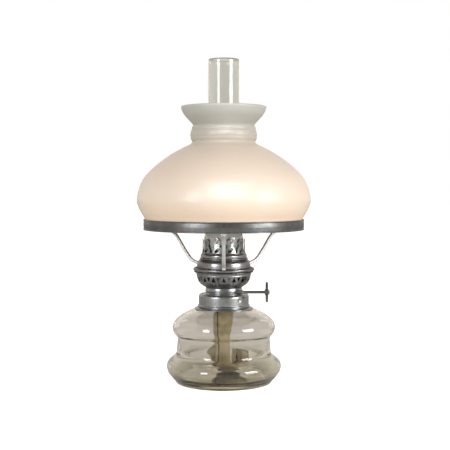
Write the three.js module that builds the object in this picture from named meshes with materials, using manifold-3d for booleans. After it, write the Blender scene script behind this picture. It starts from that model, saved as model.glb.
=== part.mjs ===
// Kerosene table lamp: a pressed-glass font, a screw-in burner with a round
// wick, a glass chimney and an opal shade on a three-armed holder.
// Millimetres, +Z up. The origin is the centre of the foot, on the surface that
// the lamp stands on. The front is -Y, and the wick raiser's knob is on +X.
import * as THREE from "three";
import { mergeVertices } from "three/addons/utils/BufferGeometryUtils.js";
import Module from "manifold-3d";

const wasm = await Module();
wasm.setup();

// ---- Driving dimensions ---------------------------------------------------

const FACETS = 24; // sides of a large turned piece
const FINE_FACETS = 20; // sides of the tubes
const SMALL_FACETS = 8; // sides of the raiser's small round pieces
const GAP = 0.3; // clearance between neighbouring pieces

const FOOT_RADIUS = 57;
const BASE_BULGE_RADIUS = 68.2;
const WAIST_RADIUS = 55.1;
const SHOULDER_RADIUS = 61;
const FONT_WALL = 3.8;
const NECK_RADIUS = 25.9; // glass neck inside the collar
const NECK_BORE = 23.5;
const NECK_TOP = 101.6;

const COLLAR_RADIUS = 29.8;
const COLLAR_WALL = 1.9;
const COLLAR_TOP = 105.4;
const SEAT_FLOOR = 103.6; // recess for the seal in the collar's top
const SLEEVE_BORE = 22.1; // threaded sleeve of the collar

const SKIRT_RADIUS = 20.6; // threaded skirt of the burner
const SHEET = 0.8; // thickness of the burner's sheet metal
const THREAD_PITCH = 3;
const THREAD_TURNS = 1.25;
const THREAD_STEPS = FACETS; // steps of the thread per turn
const MALE_CREST = 21.7;
const FEMALE_CREST = 21;

const FLANGE_BOTTOM = 104.9;
const FLANGE_RADIUS = 25.5;
const BURNER_NECK_RADIUS = 21.5;
const BURNER_NECK_TOP = 112.7;
const BASKET_BOTTOM = 113;
const BASKET_RIM = 131.9;
const BASKET_HOLES = 20;
const DOME_RADIUS = 31.7;
const DOME_BOTTOM = 132.3;
const CROWN_BOTTOM = 146.8;
const CROWN_TOP = 170.6;
const CROWN_PRONGS = 10;
const CHIMNEY_SEAT = 149.7;

const WICK_INNER = 10;
const WICK_OUTER = 11.9;
const WICK_TOP = 138;
const WICK_TUBE_INNER = 12.3;
const WICK_TUBE_OUTER = 12.9;
const WICK_TUBE_BOTTOM = 100.5;
const WICK_TUBE_TOP = 141;
const AIR_TUBE_INNER = 9;
const AIR_TUBE_OUTER = 9.6;
const AIR_TUBE_BOTTOM = 113.8;
const DUCT_WIDTH = 10;
const DUCT_HEIGHT = 8;
const DUCT_END = 19; // distance of the duct's mouth behind the lamp's axis

const SHAFT_Y = -15.5;
const SHAFT_Z = 108.5;
const SHAFT_RADIUS = 1.6;
const SHAFT_BORE = 1.9; // bore of every piece on the shaft
const SHAFT_INNER_END = -9.6;
const SHAFT_OUTER_END = 52.7;
const SPUR_WHEELS = 4;
const SPUR_SPACING = 3.6;
const SPUR_TIP = 3.2;
const SPUR_ROOT = 2.4;
const SPUR_TEETH = 8;
const GLAND_RADIUS = 2.2;
const KNOB_RADIUS = 11.8;
const KNOB_X = 49.5; // inner face of the knob's disc
const KNOB_THICKNESS = 2.4;

const HOLDER_RING_INNER = 32.5;
const HOLDER_RING_OUTER = 36.3;
const HOLDER_RING_TOP = 136.8;
const ARMS = 3;
const ARM_WIDTH = 4.4;
const ARM_THICKNESS = 3.8;
const ARM_END = 91;
const RIVET_AT = 87.4; // radius of the rivets from the lamp's axis
const RIVET_RADIUS = 1.4;

const SHADE_RING_RADIUS = 95.5;
const SHADE_RING_BOTTOM = 181.5;
const SHADE_RING_TOP = 194;
const SHADE_RING_INNER = 84;
const SHADE_BOTTOM = 183.3;
const SHADE_TOP = 327.5;
const SHADE_BASE_RADIUS = 93.5;
const SHADE_WALL = 3;

const CHIMNEY_BOTTOM = 150;
const CHIMNEY_TOP = 382.6;
const CHIMNEY_BASE_RADIUS = 23.3;
const CHIMNEY_TOP_RADIUS = 18.1;
const CHIMNEY_WALL = 1.6;

// ---- Materials ------------------------------------------------------------

const metal = (color, roughness) => new THREE.MeshStandardMaterial({ color, roughness, metalness: 1 });
const dull = (color, roughness) => new THREE.MeshStandardMaterial({ color, roughness, metalness: 0 });

const MATERIALS = {
  clearGlass: dull(0xbab4a5, 0.08),
  chimneyGlass: dull(0xb4b6ac, 0.05),
  opalGlass: dull(0xf4dec6, 0.18),
  pewter: metal(0x6e6e6c, 0.38),
  holderSteel: metal(0xa3a39f, 0.42),
  raiserSteel: metal(0x77756f, 0.35),
  cotton: dull(0xa59464, 0.95),
  plaster: dull(0xcfc8b8, 0.9),
  cork: dull(0x8a6a48, 0.85),
};

// ---- Geometry helpers -----------------------------------------------------

// Evenly spread points on a smooth curve through a few [radius, height] points.
function smooth(points, steps) {
  const curve = new THREE.SplineCurve(points.map(([r, z]) => new THREE.Vector2(r, z)));
  return curve.getPoints(steps).map((p) => [p.x, p.y]);
}

// A profile's outside from bottom to top, then its inside from top to bottom.
function wall(outside, inside) {
  return [...outside, ...inside.slice().reverse()];
}

function signedArea(profile) {
  let area = 0;
  profile.forEach(([r, z], i) => {
    const [nextR, nextZ] = profile[(i + 1) % profile.length];
    area += (r * nextZ - nextR * z) / 2;
  });
  return area;
}

// Turns a [radius, height] profile about +Z. A profile off the axis is closed on itself.
function turned(profile, facets = FACETS) {
  const ordered = signedArea(profile) > 0 ? profile : profile.slice().reverse();
  const points = ordered.map(([r, z]) => new THREE.Vector2(r, z));
  const onAxis = ordered[0][0] === 0 && ordered.at(-1)[0] === 0;
  if (!onAxis) points.push(points[0].clone());
  return new THREE.LatheGeometry(points, facets).rotateX(Math.PI / 2);
}

// A plain ring of rectangular section.
function ring(inner, outer, bottom, top, facets = FACETS) {
  const section = [[inner, bottom], [outer, bottom], [outer, top], [inner, top]];
  return turned(section, facets);
}

function box(x, y, z) {
  const geometry = new THREE.BoxGeometry(x[1] - x[0], y[1] - y[0], z[1] - z[0]);
  return geometry.translate((x[0] + x[1]) / 2, (y[0] + y[1]) / 2, (z[0] + z[1]) / 2);
}

function toSolid(geometry) {
  const bare = geometry.clone();
  bare.deleteAttribute("normal");
  bare.deleteAttribute("uv");
  const merged = mergeVertices(bare, 1e-4);
  const mesh = new wasm.Mesh({
    numProp: 3,
    vertProperties: new Float32Array(merged.attributes.position.array),
    triVerts: new Uint32Array(merged.index.array),
  });
  return new wasm.Manifold(mesh);
}

function toGeometry(solid) {
  const mesh = solid.getMesh();
  const geometry = new THREE.BufferGeometry();
  geometry.setAttribute("position", new THREE.BufferAttribute(mesh.vertProperties, 3));
  geometry.setIndex(new THREE.BufferAttribute(mesh.triVerts, 1));
  geometry.computeVertexNormals();
  return geometry;
}

function join(...geometries) {
  const solids = geometries.map(toSolid);
  return toGeometry(solids.reduce((whole, piece) => whole.add(piece)));
}

function cut(geometry, ...tools) {
  return toGeometry(tools.reduce((left, tool) => left.subtract(toSolid(tool)), toSolid(geometry)));
}

// Copies of a geometry spread evenly around the lamp's axis.
function around(geometry, count, firstAngle = 0) {
  const copies = [];
  for (let i = 0; i < count; i++) {
    copies.push(geometry.clone().rotateZ(firstAngle + (i * 2 * Math.PI) / count));
  }
  return copies;
}

// Closed skin over rings of points, each ring with the same number of points.
function loft(rings) {
  const count = rings[0].length;
  const faces = [];
  for (let level = 0; level < rings.length - 1; level++) {
    for (let i = 0; i < count; i++) {
      const a = level * count + i;
      const b = level * count + ((i + 1) % count);
      faces.push(a, b, b + count, a, b + count, a + count);
    }
  }
  return { positions: rings.flat(2), faces };
}

function bufferGeometry({ positions, faces }) {
  const geometry = new THREE.BufferGeometry();
  geometry.setAttribute("position", new THREE.Float32BufferAttribute(positions, 3));
  geometry.setIndex(faces);
  geometry.computeVertexNormals();
  return geometry;
}

// A right-handed ridge of a screw thread, from a root radius to a crest radius.
function threadRidge(root, crest, bottom, facing) {
  const rootHalf = 0.75;
  const crestHalf = 0.35;
  const section = [[root, -rootHalf], [crest, -crestHalf], [crest, crestHalf], [root, rootHalf]];
  const ordered = facing === "out" ? section : section.slice().reverse();
  const rings = [];
  for (let step = 0; step <= THREAD_STEPS * THREAD_TURNS; step++) {
    const angle = (step / THREAD_STEPS) * 2 * Math.PI;
    const rise = bottom + (step / THREAD_STEPS) * THREAD_PITCH;
    rings.push(ordered.map(([r, z]) => [r * Math.cos(angle), r * Math.sin(angle), rise + z]));
  }
  const skin = loft(rings);
  const last = (rings.length - 1) * 4;
  skin.faces.push(2, 1, 0, 3, 2, 0);
  skin.faces.push(last, last + 1, last + 2, last, last + 2, last + 3);
  for (let i = 0; i < skin.faces.length; i += 3) {
    [skin.faces[i + 1], skin.faces[i + 2]] = [skin.faces[i + 2], skin.faces[i + 1]];
  }
  return bufferGeometry(skin);
}

const lamp = new THREE.Group();

function addPart(name, geometry, material) {
  const mesh = new THREE.Mesh(geometry, material);
  mesh.name = name;
  lamp.add(mesh);
  return mesh;
}

// Pieces modelled along their own +Z lie along +X here, on the raiser shaft's axis.
const raiser = new THREE.Group();
raiser.position.set(0, SHAFT_Y, SHAFT_Z);
raiser.rotation.y = Math.PI / 2;
lamp.add(raiser);

function addRaiserPart(name, geometry, material) {
  raiser.add(addPart(name, geometry, material));
}

// ---- Font: the oil reservoir and its collar --------------------------------

function fontGlass() {
  const foot = smooth(
    [[FOOT_RADIUS, 0], [59.2, 3.4], [64.6, 10.4], [BASE_BULGE_RADIUS, 18.4], [65, 26.8], [57, 32.9]],
    8,
  );
  const waist = [[WAIST_RADIUS + 0.6, 36], [WAIST_RADIUS, 53.5]];
  const shoulder = smooth(
    [[56, 55.5], [60.3, 60.5], [SHOULDER_RADIUS, 66], [57.6, 74.2], [47.5, 81.5], [39, 85.8]],
    7,
  );
  const neck = [[31, 88.2], [27.2, 89.9], [NECK_RADIUS, 91.6], [NECK_RADIUS, NECK_TOP]];
  const inside = [
    [0, 6],
    [50, 7],
    [BASE_BULGE_RADIUS - FONT_WALL - 2, 13.5],
    [BASE_BULGE_RADIUS - FONT_WALL, 19.4],
    [60, 27],
    [WAIST_RADIUS - FONT_WALL, 34.8],
    [WAIST_RADIUS - FONT_WALL, 54.5],
    [SHOULDER_RADIUS - FONT_WALL, 63],
    [53.5, 72],
    [43, 79.8],
    [NECK_BORE, 87.4],
    [NECK_BORE, NECK_TOP],
  ];
  const underside = [[0, 2.2], [46, 2.2], [49.5, 0]];
  return turned(wall([...underside, ...foot, ...waist, ...shoulder, ...neck], inside));
}

function fontCollar() {
  const lip = [[30.4, 88.9], [34.2, 87.6], [34.9, 87.9], [34.5, 88.5], [31.8, 89.4]];
  const bead = [[30.7, 90.2], [31.1, 91.2], [30.8, 92.4]];
  const barrel = [[COLLAR_RADIUS, 93], [COLLAR_RADIUS, 102.6], [28.9, 104.4], [26.6, COLLAR_TOP]];
  const seat = [[25.9, COLLAR_TOP], [25.9, SEAT_FLOOR], [SLEEVE_BORE, SEAT_FLOOR]];
  const sleeve = [[SLEEVE_BORE, 94.6], [NECK_BORE - GAP, 94.6], [NECK_BORE - GAP, NECK_TOP + 0.8]];
  const lining = [[COLLAR_RADIUS - COLLAR_WALL, NECK_TOP + 0.8], [COLLAR_RADIUS - COLLAR_WALL, 92.4]];
  const body = turned([...lip, ...bead, ...barrel, ...seat, ...sleeve, ...lining, [28.6, 90.6]]);
  return join(body, threadRidge(SLEEVE_BORE + 0.4, FEMALE_CREST, 97, "in"));
}

function collarCement() {
  return ring(NECK_RADIUS + GAP, COLLAR_RADIUS - COLLAR_WALL - GAP, 93.5, NECK_TOP);
}

addPart("font_glass", fontGlass(), MATERIALS.clearGlass);
addPart("font_collar", fontCollar(), MATERIALS.pewter);
addPart("collar_cement", collarCement(), MATERIALS.plaster);

// ---- Burner: the base, basket, gallery and tubes ----------------------------

function burnerSeal() {
  return ring(SLEEVE_BORE + GAP, 25.6, SEAT_FLOOR + GAP, FLANGE_BOTTOM - GAP);
}

function burnerBase() {
  const skirtBore = SKIRT_RADIUS - SHEET;
  const neckBore = BURNER_NECK_RADIUS - SHEET;
  const outside = [
    [SKIRT_RADIUS, 96.2],
    [SKIRT_RADIUS, FLANGE_BOTTOM],
    [FLANGE_RADIUS, FLANGE_BOTTOM],
    [FLANGE_RADIUS, FLANGE_BOTTOM + 0.6],
    [23.6, FLANGE_BOTTOM + 0.6],
    [23.6, FLANGE_BOTTOM + 1],
    [BURNER_NECK_RADIUS, FLANGE_BOTTOM + 1],
    [BURNER_NECK_RADIUS, BURNER_NECK_TOP],
  ];
  const inside = [[skirtBore, 96.2], [skirtBore, 106.2], [neckBore, 107], [neckBore, BURNER_NECK_TOP]];
  const thread = threadRidge(SKIRT_RADIUS - 0.4, MALE_CREST, 97 + THREAD_PITCH / 2, "out");
  const glandHole = new THREE.CylinderGeometry(GLAND_RADIUS + 0.3, GLAND_RADIUS + 0.3, 17, SMALL_FACETS)
    .rotateZ(Math.PI / 2)
    .translate(16.5, SHAFT_Y, SHAFT_Z);
  return cut(join(turned(wall(outside, inside)), thread), glandHole);
}

function burnerBasket() {
  const outside = [
    [22, BASKET_BOTTOM],
    [24.4, 114.9],
    [27.4, 117.3],
    [30.6, 121.6],
    [31.9, 125.8],
    [32.5, 130.4],
    [35.2, 131.1],
    [35.2, BASKET_RIM],
  ];
  const inside = [
    [19.6, BASKET_BOTTOM],
    [19.6, BASKET_BOTTOM + SHEET],
    [23.8, 115.7],
    [26.8, 118],
    [29.8, 122],
    [31, 126],
    [31.6, 131.1],
    [30.4, 131.1],
    [30.4, BASKET_RIM],
  ];
  const hole = new THREE.CylinderGeometry(2.9, 2.9, 10, 3)
    .rotateX(Math.PI / 2)
    .rotateZ(Math.PI / 2)
    .translate(31, 0, 123.6);
  return cut(turned(wall(outside, inside)), ...around(hole, BASKET_HOLES));
}

function burnerDeck() {
  return ring(WICK_TUBE_OUTER + GAP, 19.3, 113.5, 114.2, FINE_FACETS);
}

function galleryDome() {
  const outside = [
    [DOME_RADIUS, DOME_BOTTOM],
    [DOME_RADIUS, 141.5],
    [31, 143.8],
    [29.2, 146.1],
    [28, 146.4],
  ];
  const inside = [
    [DOME_RADIUS - SHEET, DOME_BOTTOM],
    [DOME_RADIUS - SHEET, 141.3],
    [30.1, 143.4],
    [28.4, 145.5],
    [27.2, 145.7],
  ];
  return turned(wall(outside, inside));
}

function galleryCrown() {
  const outside = [
    [28.6, CROWN_BOTTOM],
    [28.9, 147.5],
    [27.6, 149.6],
    [26.3, 152.2],
    [25.5, 155],
    [25.1, 160],
    [24.7, CROWN_TOP],
  ];
  const inside = [
    [27.3, CROWN_BOTTOM],
    [26.5, CHIMNEY_SEAT - SHEET],
    [20.5, CHIMNEY_SEAT - SHEET],
    [20.5, CHIMNEY_SEAT],
    [25.9, CHIMNEY_SEAT],
    [25.3, 152.6],
    [24.7, 155],
    [24.3, 160],
    [23.9, CROWN_TOP],
  ];
  const slot = box([20, 30], [-1.7, 1.7], [154, CROWN_TOP + 2]);
  return cut(turned(wall(outside, inside)), ...around(slot, CROWN_PRONGS, Math.PI / CROWN_PRONGS));
}

function outerWickTube() {
  const tube = ring(WICK_TUBE_INNER, WICK_TUBE_OUTER, WICK_TUBE_BOTTOM, WICK_TUBE_TOP, FINE_FACETS);
  const spurWindow = box([-9, 9], [-15, -8], [104.5, 115.2]);
  const ductSlot = box([-DUCT_WIDTH / 2 - 1, DUCT_WIDTH / 2 + 1], [8, 15], [WICK_TUBE_BOTTOM - 1, 123.6]);
  return cut(tube, spurWindow, ductSlot);
}

function innerAirTube() {
  const floor = AIR_TUBE_BOTTOM + SHEET;
  const half = DUCT_WIDTH / 2;
  const roof = floor + DUCT_HEIGHT;
  const tube = turned([[0, AIR_TUBE_BOTTOM], [AIR_TUBE_OUTER, AIR_TUBE_BOTTOM],
    [AIR_TUBE_OUTER, WICK_TUBE_TOP], [0, WICK_TUBE_TOP]], FINE_FACETS);
  const bore = turned([[0, floor], [AIR_TUBE_INNER, floor],
    [AIR_TUBE_INNER, WICK_TUBE_TOP + 1], [0, WICK_TUBE_TOP + 1]], FINE_FACETS);
  const duct = box([-half, half], [7, DUCT_END], [floor, roof]);
  const passage = box([-half + SHEET, half - SHEET], [5, DUCT_END + 1], [floor + SHEET, roof - SHEET]);
  return cut(join(tube, duct), bore, passage);
}

addPart("burner_seal", burnerSeal(), MATERIALS.cork);
addPart("burner_base", burnerBase(), MATERIALS.pewter);
addPart("burner_basket", burnerBasket(), MATERIALS.pewter);
addPart("burner_deck", burnerDeck(), MATERIALS.pewter);
addPart("gallery_dome", galleryDome(), MATERIALS.pewter);
addPart("gallery_crown", galleryCrown(), MATERIALS.pewter);
addPart("outer_wick_tube", outerWickTube(), MATERIALS.pewter);
addPart("inner_air_tube", innerAirTube(), MATERIALS.pewter);

// ---- Wick raiser: shaft, spur wheels and knob -------------------------------

function spurWheel() {
  const outline = new THREE.Shape();
  for (let i = 0; i < SPUR_TEETH * 2; i++) {
    const radius = i % 2 === 0 ? SPUR_TIP : SPUR_ROOT;
    const angle = (i * Math.PI) / SPUR_TEETH;
    const step = i === 0 ? "moveTo" : "lineTo";
    outline[step](radius * Math.cos(angle), radius * Math.sin(angle));
  }
  outline.closePath();
  outline.holes.push(new THREE.Path().absarc(0, 0, SHAFT_BORE, 0, 2 * Math.PI, true));
  const options = { depth: 1, bevelEnabled: false, curveSegments: SMALL_FACETS };
  return new THREE.ExtrudeGeometry(outline, options);
}

function raiserShaft() {
  const length = SHAFT_OUTER_END - SHAFT_INNER_END;
  return new THREE.CylinderGeometry(SHAFT_RADIUS, SHAFT_RADIUS, length, SMALL_FACETS)
    .rotateX(Math.PI / 2)
    .translate(0, 0, (SHAFT_INNER_END + SHAFT_OUTER_END) / 2);
}

function knobWheel() {
  const outside = [
    [3.4, KNOB_X - 1.2],
    [3.8, KNOB_X - 0.3],
    [KNOB_RADIUS - 1.2, KNOB_X - 0.2],
    [KNOB_RADIUS, KNOB_X + 0.4],
    [KNOB_RADIUS, KNOB_X + KNOB_THICKNESS - 0.4],
    [KNOB_RADIUS - 1.2, KNOB_X + KNOB_THICKNESS],
    [4.2, KNOB_X + KNOB_THICKNESS - 0.3],
    [3.8, SHAFT_OUTER_END],
  ];
  const bore = [[SHAFT_BORE, KNOB_X - 1.2], [SHAFT_BORE, SHAFT_OUTER_END]];
  return turned(wall(outside, bore), FINE_FACETS);
}

function knobCap() {
  const start = SHAFT_OUTER_END + GAP;
  const profile = [[0, start], [2.7, start], [2.7, start + 0.4], [1.8, start + 0.9], [0, start + 1.1]];
  return turned(profile, SMALL_FACETS);
}

addRaiserPart("raiser_shaft", raiserShaft(), MATERIALS.raiserSteel);
for (let i = 0; i < SPUR_WHEELS; i++) {
  const middle = (i - (SPUR_WHEELS - 1) / 2) * SPUR_SPACING;
  addRaiserPart(`spur_wheel_${i + 1}`, spurWheel().translate(0, 0, middle - 0.5), MATERIALS.raiserSteel);
}
addRaiserPart("raiser_bearing", ring(SHAFT_BORE, 2.6, -8.8, -7.4, SMALL_FACETS), MATERIALS.pewter);
addRaiserPart("raiser_collar", ring(SHAFT_BORE, 2.6, 7.4, 8.8, SMALL_FACETS), MATERIALS.raiserSteel);
addRaiserPart("raiser_gland", ring(SHAFT_BORE, GLAND_RADIUS, 10.4, 23, SMALL_FACETS), MATERIALS.pewter);
addRaiserPart("knob_wheel", knobWheel(), MATERIALS.pewter);
addRaiserPart("knob_cap", knobCap(), MATERIALS.raiserSteel);

// ---- Wick -------------------------------------------------------------------

// The flat cotton band is curled into a tube in the burner. It is open behind the
// duct, hangs as an open curl in the font, and spreads on the font's floor.
function wick() {
  const half = (WICK_OUTER - WICK_INNER) / 2;
  const tubeMiddle = (WICK_OUTER + WICK_INNER) / 2;
  // height, radius of the curl's middle line, half of its open angle in degrees
  const levels = [
    [6.6, 24, 74],
    [10, 21, 68],
    [16, 17, 60],
    [26, 13.5, 50],
    [50, 11.6, 42],
    [80, tubeMiddle, 36],
    [124, tubeMiddle, 36],
    [126, tubeMiddle, 26],
    [128, tubeMiddle, 16],
    [130, tubeMiddle, 6],
    [WICK_TOP, tubeMiddle, 6],
  ];
  const arcSteps = 14;
  const rings = levels.map(([z, middle, openHalf]) => {
    const open = THREE.MathUtils.degToRad(openHalf);
    const points = [];
    for (let side = 0; side < 2; side++) {
      for (let i = 0; i <= arcSteps; i++) {
        const along = side === 0 ? i / arcSteps : 1 - i / arcSteps;
        const angle = Math.PI / 2 + open + along * (2 * Math.PI - 2 * open);
        const radius = side === 0 ? middle + half : middle - half;
        points.push([radius * Math.cos(angle), radius * Math.sin(angle), z]);
      }
    }
    return points;
  });
  const skin = loft(rings);
  const count = rings[0].length;
  const top = (rings.length - 1) * count;
  for (let i = 0; i < arcSteps; i++) {
    const across = count - 1 - i;
    skin.faces.push(i + 1, i, across, i + 1, across, across - 1);
    skin.faces.push(top + i, top + i + 1, top + across, top + i + 1, top + across - 1, top + across);
  }
  return bufferGeometry(skin);
}

addPart("wick", wick(), MATERIALS.cotton);

// ---- Shade holder: base ring, three arms and the shade's ring -----------------

function holderRing() {
  const middle = (DOME_BOTTOM + HOLDER_RING_TOP) / 2;
  const outside = [
    [33.6, DOME_BOTTOM],
    [35.2, DOME_BOTTOM],
    [HOLDER_RING_OUTER, middle - 1],
    [HOLDER_RING_OUTER, middle + 1],
    [35.2, HOLDER_RING_TOP],
  ];
  const inside = [[HOLDER_RING_INNER, middle - 1], [HOLDER_RING_INNER, middle + 1], [33.6, HOLDER_RING_TOP]];
  return turned(wall(outside, inside));
}

// The arm lies in the plane of +X and +Z, and its group turns it about the axis.
function holderArm() {
  const foot = HOLDER_RING_TOP + GAP;
  const flat = SHADE_RING_BOTTOM - GAP - ARM_THICKNESS / 2;
  const bend = smooth([[34.5, foot + 1.3], [35.6, 139.9], [37.6, 140.9], [41.6, 142.3], [45.5, 144.4]], 6);
  const rise = smooth([[49, 148.2], [55.6, 156.9], [62.2, 166.6], [66.8, 172.9], [71, 176.1]], 6);
  const line = [[34.5, foot], ...bend, ...rise, [76.5, flat - 1], [82, flat], [ARM_END, flat]];
  const upper = [];
  const lower = [];
  line.forEach(([r, z], i) => {
    const [fromR, fromZ] = line[Math.max(i - 1, 0)];
    const [toR, toZ] = line[Math.min(i + 1, line.length - 1)];
    const length = Math.hypot(toR - fromR, toZ - fromZ);
    const sideR = (-(toZ - fromZ) / length) * (ARM_THICKNESS / 2);
    const sideZ = ((toR - fromR) / length) * (ARM_THICKNESS / 2);
    upper.push(new THREE.Vector2(r + sideR, z + sideZ));
    lower.push(new THREE.Vector2(r - sideR, z - sideZ));
  });
  const outline = new THREE.Shape([...lower, ...upper.reverse()]);
  const bar = new THREE.ExtrudeGeometry(outline, { depth: ARM_WIDTH, bevelEnabled: false })
    .rotateX(Math.PI / 2)
    .translate(0, ARM_WIDTH / 2, 0);
  const rivetHole = ring(0, RIVET_RADIUS + GAP, 170, 185, SMALL_FACETS).translate(RIVET_AT, 0, 0);
  return cut(bar, rivetHole);
}

function shadeRing() {
  const flangeTop = SHADE_RING_BOTTOM + 1.3;
  const band = SHADE_RING_RADIUS - 0.6;
  const lining = SHADE_BASE_RADIUS + 0.4;
  const body = turned([
    [SHADE_RING_INNER, SHADE_RING_BOTTOM],
    [SHADE_RING_RADIUS, SHADE_RING_BOTTOM],
    [SHADE_RING_RADIUS, SHADE_RING_BOTTOM + 1.3],
    [band, SHADE_RING_BOTTOM + 1.7],
    [band, SHADE_RING_TOP - 1.5],
    [SHADE_RING_RADIUS, SHADE_RING_TOP - 1.1],
    [SHADE_RING_RADIUS, SHADE_RING_TOP],
    [lining, SHADE_RING_TOP],
    [lining, flangeTop],
    [SHADE_RING_INNER, flangeTop],
  ]);
  const hole = ring(0, RIVET_RADIUS + GAP, 180, 185, SMALL_FACETS).translate(RIVET_AT, 0, 0);
  return cut(body, ...around(hole, ARMS, -Math.PI / 2));
}

function armRivet() {
  const flangeTop = SHADE_RING_BOTTOM + 1.3;
  const head = flangeTop + GAP;
  const profile = [[0, 177.4], [RIVET_RADIUS, 177.4], [RIVET_RADIUS, head], [2.4, head],
    [2.1, head + 0.9], [0, head + 1.3]];
  return turned(profile, SMALL_FACETS).translate(RIVET_AT, 0, 0);
}

addPart("holder_base_ring", holderRing(), MATERIALS.holderSteel);
addPart("shade_ring", shadeRing(), MATERIALS.pewter);
for (let i = 0; i < ARMS; i++) {
  const spoke = new THREE.Group();
  spoke.rotation.z = -Math.PI / 2 + (i * 2 * Math.PI) / ARMS;
  spoke.add(addPart(`holder_arm_${i + 1}`, holderArm(), MATERIALS.holderSteel));
  spoke.add(addPart(`arm_rivet_${i + 1}`, armRivet(), MATERIALS.holderSteel));
  lamp.add(spoke);
}

// ---- Glassware on the burner --------------------------------------------------

function chimneyGlass() {
  const outside = [
    [CHIMNEY_BASE_RADIUS, CHIMNEY_BOTTOM],
    ...smooth([[CHIMNEY_BASE_RADIUS, 171], [22.7, 175.6], [20.2, 181], [19, 187]], 5),
    [18.6, 210],
    [CHIMNEY_TOP_RADIUS, CHIMNEY_TOP],
  ];
  const inside = outside.map(([r, z]) => [r - CHIMNEY_WALL, z]);
  return turned(wall(outside, inside), FINE_FACETS);
}

function opalShade() {
  const body = smooth(
    [[SHADE_BASE_RADIUS, SHADE_RING_TOP + 0.6], [98.1, 202.4], [103, 215.5], [99.4, 233.2], [86.2, 252.2], [61.6, 271.2],
      [38.4, 283.6]],
    10,
  );
  const neck = smooth([[37.3, 285.8], [39.4, 291], [38.5, 299.7], [36.1, 304.8]], 4);
  const flare = smooth([[39.6, 309.4], [46.6, 316.8], [50.4, 325]], 3);
  const outside = [[SHADE_BASE_RADIUS, SHADE_BOTTOM], ...body, ...neck, ...flare, [49.8, SHADE_TOP]];
  const inside = [
    [SHADE_BASE_RADIUS - SHADE_WALL, SHADE_BOTTOM],
    [SHADE_BASE_RADIUS - SHADE_WALL, 195.5],
    [96.2, 204.5],
    [100, 215.5],
    [96.5, 232.4],
    [83.7, 250.4],
    [59.6, 268.9],
    [34.8, 282.3],
    [35.6, 298],
    [33.1, 304.8],
    [43.8, 318.2],
    [47.6, SHADE_TOP],
  ];
  return turned(wall(outside, inside));
}

addPart("chimney_glass", chimneyGlass(), MATERIALS.chimneyGlass);
addPart("opal_shade", opalShade(), MATERIALS.opalGlass);

export default lamp;
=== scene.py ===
"""Looks of the kerosene lamp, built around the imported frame.

Lengths in the profiles are millimetres above the foot, and metres everywhere in Blender.
The front is -Y, the knob is on +X, and the lamp's axis is Z.
"""
import math

import bmesh
import bpy
from mathutils import Matrix, Vector


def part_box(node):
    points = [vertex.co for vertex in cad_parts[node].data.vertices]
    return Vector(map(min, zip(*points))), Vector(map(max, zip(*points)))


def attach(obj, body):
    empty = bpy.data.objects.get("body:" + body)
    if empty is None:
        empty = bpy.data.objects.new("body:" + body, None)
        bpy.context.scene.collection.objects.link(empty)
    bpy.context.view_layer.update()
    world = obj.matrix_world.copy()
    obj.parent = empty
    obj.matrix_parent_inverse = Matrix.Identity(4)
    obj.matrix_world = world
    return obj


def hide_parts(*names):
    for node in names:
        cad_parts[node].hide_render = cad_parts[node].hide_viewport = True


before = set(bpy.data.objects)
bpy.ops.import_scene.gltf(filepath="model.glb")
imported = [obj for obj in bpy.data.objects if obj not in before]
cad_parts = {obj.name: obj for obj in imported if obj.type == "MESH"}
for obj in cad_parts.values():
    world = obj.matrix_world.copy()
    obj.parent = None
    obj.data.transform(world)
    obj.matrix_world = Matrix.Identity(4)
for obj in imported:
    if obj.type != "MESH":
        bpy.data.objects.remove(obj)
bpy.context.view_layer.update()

MM = 0.001
TAU = 2 * math.pi
FINE = 144  # sides of a large turned piece
RELIEF = 360  # sides of a turned piece with relief or pierced holes
SMALL = 40  # sides of a small round piece


def low(node):
    """Height of a CAD node's lowest point, in millimetres."""
    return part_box(node)[0].z / MM


def high(node):
    """Height of a CAD node's highest point, in millimetres."""
    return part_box(node)[1].z / MM


def reach(node):
    """Largest X of a CAD node, in millimetres: the outer radius of a turned one."""
    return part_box(node)[1].x / MM


# ---- Mesh helpers ----------------------------------------------------------------


def smooth_line(points, steps=6):
    """Points on a Catmull-Rom curve through the given points, steps to each span."""
    padded = [points[0], *points, points[-1]]
    line = []
    for i in range(len(points) - 1):
        before, start, end, after = padded[i : i + 4]
        for k in range(steps):
            t = k / steps
            point = []
            for b, s, e, a in zip(before, start, end, after):
                bend = (2 * b - 5 * s + 4 * e - a) * t**2 + (3 * s - b - 3 * e + a) * t**3
                point.append(0.5 * (2 * s + (e - b) * t + bend))
            line.append(tuple(point))
    return [*line, tuple(points[-1])]


def arc(centre, radius, start, end, steps=6):
    """Points of an arc in a profile's plane, angles in degrees from +R towards +Z."""
    points = []
    for k in range(steps + 1):
        angle = math.radians(start + (end - start) * k / steps)
        points.append((centre[0] + radius * math.cos(angle), centre[1] + radius * math.sin(angle)))
    return points


def inset(profile, thickness):
    """The same line moved inwards by a thickness, square to itself."""
    moved = []
    for i, (r, z) in enumerate(profile):
        before = profile[max(i - 1, 0)]
        after = profile[min(i + 1, len(profile) - 1)]
        run, rise = after[0] - before[0], after[1] - before[1]
        length = math.hypot(run, rise)
        moved.append((r - thickness * rise / length, z + thickness * run / length))
    return moved


def new_piece(name, mesh, body, material, replaced):
    """Links a mesh as a piece that rides on a body and stands for CAD nodes."""
    piece = bpy.data.objects.new(name, mesh)
    bpy.context.scene.collection.objects.link(piece)
    mesh.materials.clear()
    mesh.materials.append(material)
    mesh.polygons.foreach_set("material_index", [0] * len(mesh.polygons))
    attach(piece, body)
    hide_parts(*replaced)
    return piece


def shade_smooth(mesh, sharp_degrees=40):
    mesh.shade_smooth()
    mesh.set_sharp_from_angle(angle=math.radians(sharp_degrees))


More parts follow.
